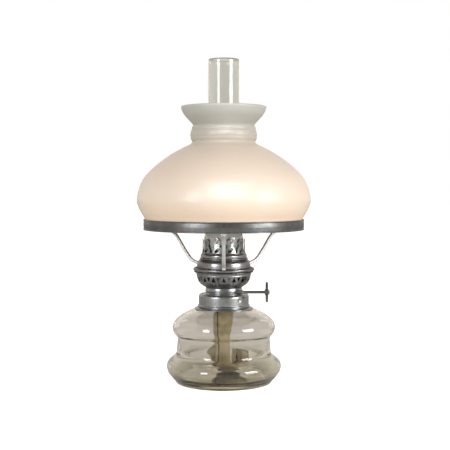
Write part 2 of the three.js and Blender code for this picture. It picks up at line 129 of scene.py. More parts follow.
def turned(name, profile, sides=FINE, relief=None, sharp_degrees=40):
    """Mesh of a closed (radius, height) profile in mm, turned about the lamp's axis.

    The profile runs up the outside and down the inside. relief(angle, r, z) gives a
    radial offset in mm. A profile that starts and ends at radius 0 is closed there.
    """
    build = bmesh.new()
    on_axis = profile[0][0] == 0 and profile[-1][0] == 0
    rings = []
    for r, z in profile:
        if r == 0:
            rings.append([build.verts.new((0, 0, z * MM))])
            continue
        ring = []
        for i in range(sides):
            angle = TAU * i / sides
            radius = r + (relief(angle, r, z) if relief else 0)
            x, y = radius * math.cos(angle), radius * math.sin(angle)
            ring.append(build.verts.new((x * MM, y * MM, z * MM)))
        rings.append(ring)
    spans = len(rings) - 1 if on_axis else len(rings)
    for j in range(spans):
        near, far = rings[j], rings[(j + 1) % len(rings)]
        for i in range(sides):
            k = (i + 1) % sides
            corners = [near[i % len(near)], near[k % len(near)], far[k % len(far)], far[i % len(far)]]
            build.faces.new(list(dict.fromkeys(corners)))
    mesh = bpy.data.meshes.new(name)
    build.to_mesh(mesh)
    build.free()
    shade_smooth(mesh, sharp_degrees)
    return mesh


def prism(outline, near, far):
    """The two end outlines of a prism along +X, in mm. An outline is (across, height)."""
    return [(near, y, z) for y, z in outline], [(far, y, z) for y, z in outline]


def cutter_mesh(name, outlines, near, far, count, first_degrees):
    """One mesh of prisms that point outwards, each outline repeated around the axis."""
    build = bmesh.new()
    for i in range(count):
        turn = Matrix.Rotation(math.radians(first_degrees) + TAU * i / count, 3, "Z")
        for outline in outlines:
            inner, outer = prism(outline, near, far)
            inner = [build.verts.new(turn @ Vector(p) * MM) for p in inner]
            outer = [build.verts.new(turn @ Vector(p) * MM) for p in outer]
            size = len(outline)
            build.faces.new(inner[::-1])
            build.faces.new(outer)
            for k in range(size):
                n = (k + 1) % size
                build.faces.new([inner[k], inner[n], outer[n], outer[k]])
    bmesh.ops.recalc_face_normals(build, faces=build.faces)
    mesh = bpy.data.meshes.new(name)
    build.to_mesh(mesh)
    build.free()
    return mesh


def apply_modifiers(piece):
    """Replaces a piece's mesh by its evaluated one and drops its modifiers."""
    graph = bpy.context.evaluated_depsgraph_get()
    mesh = bpy.data.meshes.new_from_object(piece.evaluated_get(graph))
    piece.modifiers.clear()
    piece.data = mesh
    return mesh


def pierce(mesh, cutters):
    """Cuts closed cutter meshes out of a closed mesh and returns the result."""
    piece = bpy.data.objects.new("pierced", mesh)
    bpy.context.scene.collection.objects.link(piece)
    tools = []
    for cutter in cutters:
        tool = bpy.data.objects.new("cutter", cutter)
        bpy.context.scene.collection.objects.link(tool)
        tools.append(tool)
        modifier = piece.modifiers.new("cut", "BOOLEAN")
        modifier.object = tool
        modifier.solver = "MANIFOLD"
    bpy.context.view_layer.update()
    result = apply_modifiers(piece)
    for spent in [piece, *tools]:
        bpy.data.objects.remove(spent)
    result.name = mesh.name
    shade_smooth(result, 35)
    return result


def ellipse(centre, half_width, half_height, tilt_degrees=0, steps=20):
    """Outline (across, height) of a tilted ellipse."""
    tilt = math.radians(tilt_degrees)
    outline = []
    for i in range(steps):
        a = half_width * math.cos(TAU * i / steps)
        b = half_height * math.sin(TAU * i / steps)
        across = centre[0] + a * math.cos(tilt) - b * math.sin(tilt)
        height = centre[1] + a * math.sin(tilt) + b * math.cos(tilt)
        outline.append((across, height))
    return outline


def along_x(mesh, y, z):
    """Lays a mesh turned about Z along +X, with its axis through (y, z) in mm."""
    mesh.transform(Matrix.Translation((0, y * MM, z * MM)) @ Matrix.Rotation(math.pi / 2, 4, "Y"))
    return mesh


# ---- Material helpers --------------------------------------------------------------


class Surface:
    """A node material with a Principled shader and short calls to add nodes to it."""

    def __init__(self, name, **sockets):
        self.material = bpy.data.materials.new(name)
        self.material.use_nodes = True
        self.nodes = self.material.node_tree.nodes
        self.links = self.material.node_tree.links
        self.shader = self.nodes["Principled BSDF"]
        for socket, value in sockets.items():
            self.shader.inputs[socket.replace("_", " ")].default_value = value
        coordinates = self.nodes.new("ShaderNodeTexCoord")
        self.place = coordinates.outputs["Object"]

    def link(self, output, target):
        self.links.new(output, target)

    def stretched(self, scale):
        mapping = self.nodes.new("ShaderNodeMapping")
        mapping.inputs["Scale"].default_value = scale
        self.link(self.place, mapping.inputs["Vector"])
        return mapping.outputs["Vector"]

    def noise(self, scale, detail=4.0, roughness=0.55, stretch=None):
        node = self.nodes.new("ShaderNodeTexNoise")
        node.inputs["Scale"].default_value = scale
        node.inputs["Detail"].default_value = detail
        node.inputs["Roughness"].default_value = roughness
        self.link(self.stretched(stretch) if stretch else self.place, node.inputs["Vector"])
        return node.outputs["Fac"]

    def axis(self, name):
        node = self.nodes.new("ShaderNodeSeparateXYZ")
        self.link(self.place, node.inputs["Vector"])
        return node.outputs[name]

    def ramp(self, source, stops):
        """Colour ramp; stops are (position, value or colour)."""
        node = self.nodes.new("ShaderNodeValToRGB")
        elements = node.color_ramp.elements
        while len(elements) < len(stops):
            elements.new(0.5)
        for element, (position, colour) in zip(elements, stops):
            element.position = position
            grey = not hasattr(colour, "__len__")
            element.color = (colour, colour, colour, 1) if grey else (*colour, 1)
        self.link(source, node.inputs["Fac"])
        return node.outputs["Color"]

    def spread(self, source, start, end, new_start=0.0, new_end=1.0):
        node = self.nodes.new("ShaderNodeMapRange")
        node.inputs["From Min"].default_value = start
        node.inputs["From Max"].default_value = end
        node.inputs["To Min"].default_value = new_start
        node.inputs["To Max"].default_value = new_end
        self.link(source, node.inputs["Value"])
        return node.outputs["Result"]

    def mix(self, factor, first, second, mode="MIX"):
        """Mixes two colours; each may be an output or a colour tuple."""
        node = self.nodes.new("ShaderNodeMix")
        node.data_type = "RGBA"
        node.blend_type = mode
        for value, socket in ((factor, node.inputs[0]), (first, node.inputs[6]), (second, node.inputs[7])):
            if hasattr(value, "is_output"):
                self.link(value, socket)
            elif hasattr(value, "__len__"):
                socket.default_value = (*value, 1)
            else:
                socket.default_value = value
        return node.outputs[2]

    def math(self, operation, first, second=0.5):
        node = self.nodes.new("ShaderNodeMath")
        node.operation = operation
        for value, socket in zip((first, second), node.inputs):
            if hasattr(value, "is_output"):
                self.link(value, socket)
            else:
                socket.default_value = value
        return node.outputs[0]

    def colour(self, source):
        self.link(source, self.shader.inputs["Base Color"])

    def roughness(self, source):
        self.link(source, self.shader.inputs["Roughness"])

    def bump(self, height, strength, distance_mm):
        node = self.nodes.new("ShaderNodeBump")
        node.inputs["Strength"].default_value = strength
        node.inputs["Distance"].default_value = distance_mm * MM
        self.link(height, node.inputs["Height"])
        previous = self.shader.inputs["Normal"]
        if previous.is_linked:
            self.link(previous.links[0].from_socket, node.inputs["Normal"])
        self.link(node.outputs["Normal"], previous)


# ---- Materials -----------------------------------------------------------------------

MARKER_THREAD = 0.383  # place of the wick's marker thread across the band, 0 to 1
WEAVE_ROWS = 620.0  # radians of weave for each 100 mm along the band
WEAVE_CORDS = 260.0  # radians of weave across the band's width


def pewter_material(name, light, dark, roughness):
    """Dull plated sheet metal with cloudy tarnish, fine turning lines and specks."""
    surface = Surface(name, Metallic=1.0)
    clouds = surface.noise(55, 6, 0.62)
    specks = surface.noise(900, 2, 0.5)
    tone = surface.ramp(clouds, [(0.34, dark), (0.66, light)])
    pits = surface.ramp(specks, [(0.30, 0.55), (0.42, 1.0)])
    surface.colour(surface.mix(0.6, tone, pits, "MULTIPLY"))
    surface.roughness(surface.spread(clouds, 0.3, 0.7, roughness[1], roughness[0]))
    lines = surface.noise(160, 3, 0.6, stretch=(0.6, 0.6, 14))
    surface.bump(lines, 0.12, 0.25)
    surface.bump(specks, 0.08, 0.2)
    return surface.material


def satin_steel_material():
    """Bare bent bar: light grey, drawn along its length, slightly stained."""
    surface = Surface("satin_steel", Metallic=0.8)
    stains = surface.noise(70, 5, 0.6)
    surface.colour(surface.ramp(stains, [(0.3, (0.62, 0.63, 0.64)), (0.7, (0.78, 0.79, 0.80))]))
    surface.roughness(surface.spread(stains, 0.3, 0.7, 0.58, 0.48))
    surface.bump(surface.noise(420, 3, 0.6), 0.15, 0.15)
    return surface.material


def opal_material(bottom, top):
    """Cased opal glass, peach, with painted shade: light at the foot, duller round the belly, grey at the
    mouth.
    """
    surface = Surface("opal_glass", Roughness=0.26, IOR=1.45)
    surface.shader.inputs["Specular IOR Level"].default_value = 0.3
    surface.shader.inputs["Subsurface Weight"].default_value = 0.25
    surface.shader.inputs["Subsurface Radius"].default_value = (1.0, 0.72, 0.5)
    surface.shader.inputs["Subsurface Scale"].default_value = 6 * MM
    surface.shader.inputs["Coat Weight"].default_value = 0.8
    surface.shader.inputs["Coat Roughness"].default_value = 0.74
    surface.shader.inputs["Coat IOR"].default_value = 1.8
    height = surface.spread(surface.axis("Z"), bottom * MM, top * MM)
    # The glass's peach tint by height, with painted shade that darkens it and turns it grey up to the mouth.
    colour_by_height = surface.ramp(
        height,
        [
            (0.0, (0.78, 0.62, 0.47)),
            (0.10, (0.73, 0.585, 0.45)),
            (0.27, (0.64, 0.55, 0.455)),
            (0.48, (0.60, 0.49, 0.395)),
            (0.66, (0.53, 0.445, 0.36)),
            (0.72, (0.42, 0.385, 0.32)),
            (0.80, (0.36, 0.345, 0.295)),
            (0.87, (0.37, 0.37, 0.335)),
            (1.0, (0.38, 0.395, 0.365)),
        ],
    )
    clouds = surface.noise(14, 3, 0.5)
    veil = surface.ramp(clouds, [(0.3, (0.965, 0.95, 0.93)), (0.7, (1, 1, 1))])
    surface.colour(surface.mix(1.0, colour_by_height, veil, "MULTIPLY"))
    surface.bump(surface.noise(26, 2, 0.5), 0.08, 0.8)
    return surface.material


def font_glass_material(bottom, top):
    """Thick pressed glass with a warm cast, darker and olive low down."""
    surface = Surface("pressed_glass", Roughness=0.03, IOR=1.3, Coat_Weight=1.0, Coat_Roughness=0.09)
    surface.shader.inputs["Transmission Weight"].default_value = 1.0
    height = surface.spread(surface.axis("Z"), bottom * MM, top * MM)
    streaks = surface.noise(36, 5, 0.6, stretch=(1, 1, 2.6))
    level = surface.math("ADD", height, surface.spread(streaks, 0.3, 0.7, -0.07, 0.07))
    colour_by_height = surface.ramp(
        level,
        [
            (0.0, (0.38, 0.345, 0.23)),
            (0.08, (0.70, 0.67, 0.51)),
            (0.18, (0.90, 0.885, 0.81)),
            (0.5, (0.975, 0.96, 0.94)),
            (1.0, (0.97, 0.955, 0.925)),
        ],
    )
    surface.colour(colour_by_height)
    surface.bump(surface.noise(45, 2, 0.5), 0.10, 0.8)
    return surface.material


def chimney_material():
    """Thin blown glass with a faint grey-green cast and long drawing lines."""
    surface = Surface("blown_glass", Roughness=0.02, IOR=1.25, Coat_Weight=1.0, Coat_Roughness=0.12)
    surface.shader.inputs["Transmission Weight"].default_value = 1.0
    haze = surface.noise(22, 3, 0.55)
    surface.colour(surface.ramp(haze, [(0.3, (0.82, 0.85, 0.835)), (0.7, (0.88, 0.905, 0.89))]))
    surface.bump(surface.noise(60, 2, 0.5, stretch=(1, 1, 0.12)), 0.12, 0.4)
    return surface.material


def cotton_material():
    """Oil-soaked wick: olive cream woven cotton with a dark marker thread."""
    surface = Surface("wick_cotton", Roughness=0.85)
    surface.shader.inputs["Sheen Weight"].default_value = 0.25
    soak = surface.noise(45, 5, 0.6)
    soaked = surface.ramp(
        soak,
        [
            (0.3, (0.48, 0.37, 0.16)),
            (0.52, (0.75, 0.62, 0.33)),
            (0.75, (0.92, 0.83, 0.58)),
        ],
    )
    across = surface.nodes.new("ShaderNodeUVMap")
    split = surface.nodes.new("ShaderNodeSeparateXYZ")
    surface.link(across.outputs["UV"], split.inputs["Vector"])
    off_line = surface.math("ABSOLUTE", surface.math("SUBTRACT", split.outputs["X"], MARKER_THREAD))
    thread = surface.spread(off_line, 0.010, 0.020)
    surface.colour(surface.mix(thread, (0.05, 0.032, 0.03), soaked))
    rows = surface.math("SINE", surface.math("MULTIPLY", split.outputs["Y"], WEAVE_ROWS))
    cords = surface.math("SINE", surface.math("MULTIPLY", split.outputs["X"], WEAVE_CORDS))
    surface.bump(surface.math("MULTIPLY", rows, cords), 0.6, 0.35)
    return surface.material


def plaster_material():
    surface = Surface("plaster", Roughness=0.9)
    grain = surface.noise(600, 4, 0.6)
    surface.colour(surface.ramp(grain, [(0.3, (0.55, 0.52, 0.45)), (0.7, (0.72, 0.69, 0.62))]))
    surface.bump(grain, 0.4, 0.2)
    return surface.material


def seal_material_in_painted_shade():
    surface = Surface("cork", Roughness=0.85)
    grain = surface.noise(420, 4, 0.7)
    # The cork's grain is its own. Its near-black colour is painted shade in the recess between the collar and
    # the burner's flange.
    surface.colour(surface.ramp(grain, [(0.35, (0.035, 0.028, 0.022)), (0.65, (0.09, 0.07, 0.05))]))
    surface.bump(grain, 0.5, 0.3)
    return surface.material


# One plated metal in four copies, lighter or darker to match how lit each part looks: the bright copy is
# painted light, and the dark and ring copies are painted shade.
LIT_PEWTER = pewter_material("pewter_painted_light", (0.40, 0.407, 0.415), (0.25, 0.255, 0.26), (0.25, 0.36))
PEWTER = pewter_material("pewter", (0.34, 0.347, 0.354), (0.21, 0.215, 0.22), (0.24, 0.36))
SHADED_PEWTER = pewter_material("pewter_painted_shade", (0.30, 0.304, 0.308), (0.155, 0.158, 0.161), (0.26, 0.40))
SHADED_RING_PEWTER = pewter_material("ring_pewter_painted_shade", (0.19, 0.194, 0.198), (0.125, 0.128, 0.131), (0.30, 0.42))
SATIN_STEEL = satin_steel_material()
OPAL = opal_material(low("opal_shade"), high("opal_shade"))
FONT_GLASS = font_glass_material(0, high("font_glass"))
CHIMNEY_GLASS = chimney_material()
COTTON = cotton_material()
PLASTER = plaster_material()
SEAL_IN_PAINTED_SHADE = seal_material_in_painted_shade()


# ---- Glassware -------------------------------------------------------------------------


def font_glass():
    """Pressed font: foot ring, wide lower bulge, waist, shoulder and neck."""
    bulge = reach("font_glass")
    top = high("font_glass")
    foot = [(49.4, 1.6), *arc((51.4, 1.4), 1.4, 200, 270, 3), (55.6, 0), *arc((56.1, 1.2), 1.2, 280, 350, 3)]
    lower = smooth_line(
        [(58.0, 2.4), (60.2, 4.6), (63.6, 8.7), (66.6, 13.0), (bulge, 18.6), (67.6, 22.6),
         (65.2, 26.6), (61.6, 29.5), (58.2, 32.1), (56.7, 34.2)], 5
    )
    waist = [(56.2, 36.4), (55.8, 41), (55.4, 46), (55.1, 50), (55.0, 52.6)]
    shoulder = smooth_line(
        [(55.7, 54.6), (58.1, 57), (60.0, 60), (61.0, 64), (60.7, 68.4), (59.1, 72.3),
         (55.8, 75.8), (51.8, 79.0), (47.6, 81.5), (43.2, 83.9), (39, 85.8)], 5
    )
    neck = [(31, 88.2), (27.6, 89.6), (26.2, 90.8), (25.9, 92.2), (25.9, top - 0.6), (25.3, top)]
    outside = [(0, 2.4), (20, 2.4), (44, 2.6), *foot, *lower, *waist, *shoulder, *neck]
    inside = [
        (24.2, top),
        (23.5, top - 0.8),
        (23.5, 88.6),
        *smooth_line([(24.6, 86.8), (34, 84.1), (44, 79.5), (52.4, 73.6), (56.4, 68.4),
                      (57.2, 63), (55.6, 59.2), (52.4, 56.0), (51.5, 52)], 4),
        (51.7, 46),
        (52.0, 40),
        *smooth_line([(52.6, 35.4), (55.2, 32), (60.4, 27.2), (63.2, 23.2), (64.1, 18.6),
                      (62.8, 13.8), (59.0, 9.6), (52, 7.0), (40, 6.2)], 4),
        (20, 5.9),
        (0, 5.9),
    ]

    def mould_waves(angle, r, z):
        return 0.12 * math.sin(3 * angle + 0.11 * z) + 0.07 * math.sin(7 * angle - 0.23 * z)

    mesh = turned("font_glass_fine", [*outside, *inside], 192, mould_waves)
    return new_piece("font_glass_fine", mesh, "font", FONT_GLASS, ["font_glass"])


def chimney_glass():
    """Blown chimney: straight base, drawn-in shoulder, long tapering tube."""
    base, top = low("chimney_glass"), high("chimney_glass")
    outside = [
        (22.9, base),
        (23.3, base + 0.5),
        (23.3, base + 1.5),
        *smooth_line([(23.3, 171), (23.0, 174), (22.0, 177.2), (20.5, 180.6), (19.4, 184),
                      (18.9, 188), (18.7, 196)], 5),
        (18.55, 230),
        (18.4, 290),
        (18.2, 350),
        (18.1, top - 2.5),
        (18.1, top - 0.7),
        (17.8, top - 0.15),
    ]
    wall = 1.5
    inside = [(r - wall, z) for r, z in outside]
    inside[0] = (21.9, base)
    inside[-1] = (17.0, top - 0.1)
    mesh = turned("chimney_glass_fine", [*outside, (17.4, top), *inside[::-1]], 128)
    return new_piece("chimney_glass_fine", mesh, "chimney", CHIMNEY_GLASS, ["chimney_glass"])


def opal_shade():
    """Dome shade: short straight fitter, belly, ribbed neck and flared mouth."""
    base, top = low("opal_shade"), high("opal_shade")
    outside = [
        (93.1, base),
        (93.5, base + 0.6),
        (93.5, 192.5),
        *smooth_line(
            [(93.8, 194.6), (95.0, 197.2), (98.2, 202.2), (101.2, 208.4), (102.9, 215.4),
             (102.2, 223.5), (99.5, 233.0), (94.8, 242.6), (86.4, 252.1), (75.3, 261.6),
             (61.4, 271.2), (49.3, 277.9), (41.3, 281.8), (38.2, 283.9)], 6
        ),
        *smooth_line(
            [(37.4, 285.2), (37.8, 286.6), (39.1, 289.0), (39.6, 292), (39.4, 295.2),
             (38.8, 298.4), (37.9, 301.4), (36.7, 303.7), (36.1, 304.8)], 4
        ),
        *smooth_line(
            [(36.9, 306.3), (39.6, 309.3), (42.6, 312.6), (45.5, 315.8), (48, 319.4),
             (49.7, 323), (50.5, 325.6)], 4
        ),
        (50.4, top - 0.7),
        (49.6, top),
    ]
    wall = 3.0
    inner = [(r, z) for r, z in inset(outside[2:-2], wall)[::-1] if z < top - 2.2]
    inside = [(48.2, top), (47.5, top - 0.7), *inner, (90.5, base + 0.5), (90.9, base)]

    def neck_ribs(angle, r, z):
        grooves = 0.5 * math.exp(-(((z - 299.6) / 1.1) ** 2)) + 0.35 * math.exp(-(((z - 291) / 1.1) ** 2))
        ridge = 0.4 * math.exp(-(((z - 303) / 1.2) ** 2))
        return ridge - grooves + 0.12 * math.sin(2 * angle + 0.02 * z)

    mesh = turned("opal_shade_fine", [*outside, *inside], 192, neck_ribs, 60)
    return new_piece("opal_shade_fine", mesh, "shade", OPAL, ["opal_shade"])


# ---- Font collar and burner body ----------------------------------------------------------


SEAT_FLOOR = 103.6  # floor of the recess that takes the burner's flange
FLANGE_BOTTOM = 104.9  # underside of the burner's flange, above the seal
PETALS = 24
BEADS = 90
AIR_HOLES = 16
PRONGS = 10
MILLING = 48  # ridges round the knob's edge
ARMS = 3

shaft_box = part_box("raiser_shaft")
RAISER_Y = (shaft_box[0].y + shaft_box[1].y) / 2 / MM
RAISER_Z = (shaft_box[0].z + shaft_box[1].z) / 2 / MM


def font_collar():
    """Stamped collar: flared lip, rolled bead, plain barrel with one dimple, round shoulder."""
    top = high("font_collar")
    outside = [
        (30.4, 88.8),
        (32.8, 87.85),
        *arc((34.4, 87.95), 0.5, 250, 420, 6),
        (33.2, 88.75),
        (31.6, 89.25),
        (30.5, 89.7),
        *arc((30.1, 91.2), 1.0, -50, 55, 6),
        *arc((30.3, 92.9), 0.55, 225, 180, 3),
        (29.8, 93.8),
        (29.8, 101.6),
        *arc((26.6, 102.2), 3.2, 5, 84, 8),
        (25.95, top),
        (25.9, SEAT_FLOOR),
        (22.1, SEAT_FLOOR),
        (22.1, 95.0),
        (23.2, 95.0),
        (23.2, 102.4),
        (27.9, 102.4),
        (27.9, 92.4),
        (28.6, 90.6),
    ]

    def dimple(angle, r, z):
        away = ((angle - math.radians(309)) * 29.8 / 1.6) ** 2 + ((z - 99.4) / 1.6) ** 2
        dent = -0.55 * math.exp(-away) if r > 29 else 0
        return dent + (0.05 * math.sin(5 * angle + 1.3) if r > 29 else 0)

    dense = []
    for (r, z), (next_r, next_z) in zip(outside, outside[1:]):
        pieces = max(1, int(math.hypot(next_r - r, next_z - z) / 0.9)) if r > 29 and next_r > 29 else 1
        dense += [(r + (next_r - r) * k / pieces, z + (next_z - z) * k / pieces) for k in range(pieces)]
    mesh = turned("font_collar_fine", [*dense, outside[-1]], RELIEF, dimple)
    return new_piece("font_collar_fine", mesh, "font", LIT_PEWTER, ["font_collar"])


def burner_base():
    """Flange in two steps, neck with a rolled lip, and the threaded skirt below."""
    bottom, top = low("burner_base"), high("burner_base")
    outside = [(20.6, bottom)]
    for turn in range(3):
        crest = bottom + 1.9 + 1.9 * turn
        outside += [(20.6, crest - 0.9), (21.5, crest), (20.6, crest + 0.9)]
    outside += [
        (20.6, FLANGE_BOTTOM),
        (25.1, FLANGE_BOTTOM),
        *arc((25.1, FLANGE_BOTTOM + 0.35), 0.35, -60, 80, 4),
        (23.9, FLANGE_BOTTOM + 0.8),
        *arc((23.3, FLANGE_BOTTOM + 0.8), 0.3, 0, 90, 3),
        (22.0, FLANGE_BOTTOM + 1.15),
        (21.5, FLANGE_BOTTOM + 1.6),
        (21.5, 107.4),
        *arc((20.9, 109.2), 1.25, -45, 45, 6),
        (21.5, 111.0),
        (21.4, top),
    ]
    inside = [(20.7, top), (20.7, 107), (19.8, 106.2), (19.8, bottom)]
    gland_hole = turned("gland_hole", [(0, 8), (2.5, 8), (2.5, 25), (0, 25)], SMALL)
    along_x(gland_hole, RAISER_Y, RAISER_Z)
    mesh = pierce(turned("burner_base_fine", [*outside, *inside], FINE), [gland_hole])
    return new_piece("burner_base_fine", mesh, "burner", LIT_PEWTER, ["burner_base"])


def burner_basket():
    """Pierced bowl: triangular air holes over a band of pressed petals, beaded rim."""
    bottom, top = low("burner_basket"), high("burner_basket")
    bowl = smooth_line(
        [(22.1, bottom + 0.4), (23.4, 114.2), (25.3, 115.5), (27.4, 117.2), (29.3, 119.4),
         (30.8, 122), (31.7, 125), (32.2, 127.6), (32.5, 130.2)], 8
    )
    rim_edge = arc((34.8, top - 0.45), 0.42, -70, 80, 5)
    rim = [(33.5, 130.7), (34.7, 130.95), *rim_edge, (33.4, top), (30.4, top)]
    inner = inset(bowl, 0.8)
    inside = [(30.4, 131.1), (32.0, 130.9), *inner[::-1][1:], (19.6, bottom + 0.8), (19.6, bottom)]

    def petals(angle, r, z):
        if r < 22.4:
            return 0
        low_band = math.exp(-(((z - 117.6) / 2.0) ** 2))
        scallop = abs(math.cos(PETALS * angle / 2)) ** 0.7
        upper = math.exp(-(((z - 129.3) / 0.9) ** 2))
        beads = math.cos(BEADS * angle)
        frame_line = math.exp(-(((z - 120.0) / 0.45) ** 2)) + math.exp(-(((z - 127.7) / 0.45) ** 2))
        return 0.75 * low_band * (scallop - 0.45) + 0.22 * upper * beads + 0.3 * frame_line

    bowl_mesh = turned("burner_basket_fine", [(21.4, bottom), *bowl, *rim, *inside], RELIEF, petals)
    point_up = [(-2.5, 121.3), (2.5, 121.3), (2.2, 122.3), (0.4, 126.4), (-0.4, 126.4), (-2.2, 122.3)]
    point_down = [(x * 0.8, 247.9 - z) for x, z in point_up]
    holes_up = cutter_mesh("air_holes", [point_up], 26, 40, AIR_HOLES, -90)
    holes_down = cutter_mesh("air_holes_between", [point_down], 26, 40, AIR_HOLES, -90 + 180 / AIR_HOLES)
    mesh = pierce(bowl_mesh, [holes_up, holes_down])
    return new_piece("burner_basket_fine", mesh, "burner", SHADED_PEWTER, ["burner_basket"])


def gallery_dome():
    """Plain dome over the rim, with a rolled foot and a groove under the crown."""
    bottom, top = low("gallery_dome"), high("gallery_dome")
    outside = [
        (31.4, bottom),
        *arc((31.3, bottom + 0.45), 0.4, -60, 60, 4),
        (31.55, 134),
        *smooth_line([(31.7, 137.5), (31.65, 140.2), (31.2, 142.6), (30.3, 144.4), (29.0, 145.6)], 5),
        (28.5, 146.0),
        (28.0, top),
    ]
    inside = [(27.2, 145.7), (28.4, 145.1), (30.1, 143.2), (30.9, 140.8), (30.9, 136), (30.7, bottom)]
    mesh = turned("gallery_dome_fine", [*outside, *inside], FINE)
    return new_piece("gallery_dome_fine", mesh, "burner", PEWTER, ["gallery_dome"])


def gallery_crown():
    """Springy crown: leaf prongs, each with a slanted oval hole and two small ones."""
    bottom, top = low("gallery_crown"), high("gallery_crown")
    seat = 149.7
    outside = [
        (28.4, bottom),
        *arc((28.5, bottom + 0.6), 0.55, -70, 90, 5),
        *smooth_line([(28.1, 148.2), (27.3, 148.9), (27.3, 149.6), (27.5, 150.6), (27.2, 151.8),
                      (26.4, 153.1), (25.7, 154.8), (25.4, 157), (25.2, 160), (25.0, 163.5),
                      (24.9, 166.5), (25.3, top)], 5),
    ]
    inside = [
        (24.4, top),
        *smooth_line([(24.1, 166.5), (24.25, 163.5), (24.5, 160), (24.7, 156), (25.1, 153.8),
                      (25.8, 151.4)], 5),
        (26.1, seat),
        (20.5, seat),
        (20.5, seat - 0.8),
        (26.3, seat - 0.8),
        (27.3, 147.6),
        (27.3, bottom),
    ]

    def pressed_ribs(angle, r, z):
        band = math.exp(-(((z - 152.4) / 1.1) ** 2)) if r > 24 else 0
        return 0.18 * band * math.cos(PRONGS * (angle + math.pi / 2) + math.pi)

    shell = turned("gallery_crown_fine", [*outside, *inside], RELIEF, pressed_ribs)
    gap = [(0, 154.6), (0.9, 155.0), (1.45, 156.2), (1.7, 158), (2.5, 160.4), (4.2, 162.4),
           (4.5, 163.6), (3.7, 165.2), (3.3, 166.8), (3.9, 168.6), (5.6, 170.0), (7.0, top - 0.1),
           (7.0, top + 3)]
    outline = [*gap, *[(-x, z) for x, z in gap[:0:-1]]]
    gaps = cutter_mesh("prong_gaps", [outline], 23.2, 27.5, PRONGS, -90)
    slant = ellipse((0, 157.9), 4.1, 2.1, 42)
    eye = ellipse((0, 166.4), 1.25, 1.25)
    teardrop = ellipse((0, 163.2), 0.7, 1.1)
    holes = cutter_mesh("prong_holes", [slant, eye, teardrop], 22, 28, PRONGS, -90 + 180 / PRONGS)
    mesh = pierce(shell, [gaps, holes])
    return new_piece("gallery_crown_fine", mesh, "burner", LIT_PEWTER, ["gallery_crown"])


def burner_seal():
    bottom, top = low("burner_seal"), high("burner_seal")
    profile = [(22.4, bottom), (25.4, bottom), (25.6, bottom + 0.3), (25.5, top), (22.4, top)]
    mesh = turned("burner_seal_fine", profile, FINE)
    return new_piece("burner_seal_fine", mesh, "seal", SEAL_IN_PAINTED_SHADE, ["burner_seal"])


# ---- Wick raiser -----------------------------------------------------------------------------


def raiser_shaft():
    start, end = shaft_box[0].x / MM, shaft_box[1].x / MM
    profile = [(0, start), (1.3, start), (1.6, start + 0.3), (1.6, end - 0.3), (1.3, end), (0, end)]
    mesh = along_x(turned("raiser_shaft_fine", profile, SMALL), RAISER_Y, RAISER_Z)
    return new_piece("raiser_shaft_fine", mesh, "raiser", SHADED_PEWTER, ["raiser_shaft"])


def raiser_gland():
    """Bush soldered in the neck, with a turned collar at its mouth."""
    start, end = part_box("raiser_gland")[0].x / MM, reach("raiser_gland")
    profile = [
        (1.9, start), (2.2, start), (2.2, 18.2), (2.6, 18.6), (2.6, 19.6), (2.2, 20.0), (2.2, end - 1.2),
        *arc((1.95, end - 0.35), 0.3, 0, 90, 3), (1.9, end),
    ]
    mesh = along_x(turned("raiser_gland_fine", profile, SMALL), RAISER_Y, RAISER_Z)
    return new_piece("raiser_gland_fine", mesh, "burner", PEWTER, ["raiser_gland"])


def knob_wheel():
    """Thin hand wheel with a milled edge, a raised ring on its face and a turned hub."""
    inner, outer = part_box("knob_wheel")[0].x / MM, reach("knob_wheel")
    rim = high("knob_wheel") - RAISER_Z
    disc = inner + 1.2
    profile = [
        (1.9, inner), (3.1, inner), (3.4, inner + 0.3), (3.6, disc - 0.4), (4.4, disc),
        (rim - 2.4, disc + 0.3), (rim - 2.0, disc), (rim - 0.5, disc), (rim, disc + 0.4),
        (rim, disc + 2.0), (rim - 0.5, disc + 2.4), (rim - 2.0, disc + 2.4), (rim - 2.4, disc + 2.1),
        (4.8, disc + 2.1), (4.1, disc + 2.4), (3.8, outer - 0.3), (3.4, outer), (1.9, outer),
    ]

    def milled(angle, r, x):
        return 0.22 * math.cos(MILLING * angle) if r > rim - 0.3 else 0

    mesh = along_x(turned("knob_wheel_fine", profile, MILLING * 6, milled), RAISER_Y, RAISER_Z)
    return new_piece("knob_wheel_fine", mesh, "raiser", SHADED_PEWTER, ["knob_wheel"])


def knob_cap():
    start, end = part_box("knob_cap")[0].x / MM, reach("knob_cap")
    crown = smooth_line([(2.6, start + 0.5), (1.8, end - 0.2), (0.9, end - 0.04)], 4)
    profile = [(0, start), (2.5, start), (2.7, start + 0.15), *crown, (0, end)]
    mesh = along_x(turned("knob_cap_fine", profile, SMALL), RAISER_Y, RAISER_Z)
    return new_piece("knob_cap_fine", mesh, "raiser", SHADED_PEWTER, ["knob_cap"])


# ---- Shade holder -----------------------------------------------------------------------------


def holder_base_ring():
    """Rolled ring that sits over the burner's rim."""
    bottom, top = low("holder_base_ring"), high("holder_base_ring")
    middle = (bottom + top) / 2
    outside = [
        (33.4, bottom),
        *arc((34.1, middle), 2.2, -88, 88, 14),
        (33.4, top),
        *arc((33.4, top - 0.9), 0.85, 90, 180, 4),
        *arc((33.4, bottom + 0.9), 0.85, 180, 268, 4),
    ]
    name = "holder_base_ring_fine"
    mesh = turned(name, outside, FINE)
    return new_piece(name, mesh, "holder", SHADED_PEWTER, ["holder_base_ring"])


def bar_section(half_width, half_height, round_off, steps=3):
    """Rounded rectangle (across, up), centred."""
    section = []
    for corner, (sx, sy) in enumerate(((1, 1), (-1, 1), (-1, -1), (1, -1))):
        centre = (sx * (half_width - round_off), sy * (half_height - round_off))
        section += arc(centre, round_off, corner * 90, corner * 90 + 90, steps)
    return section


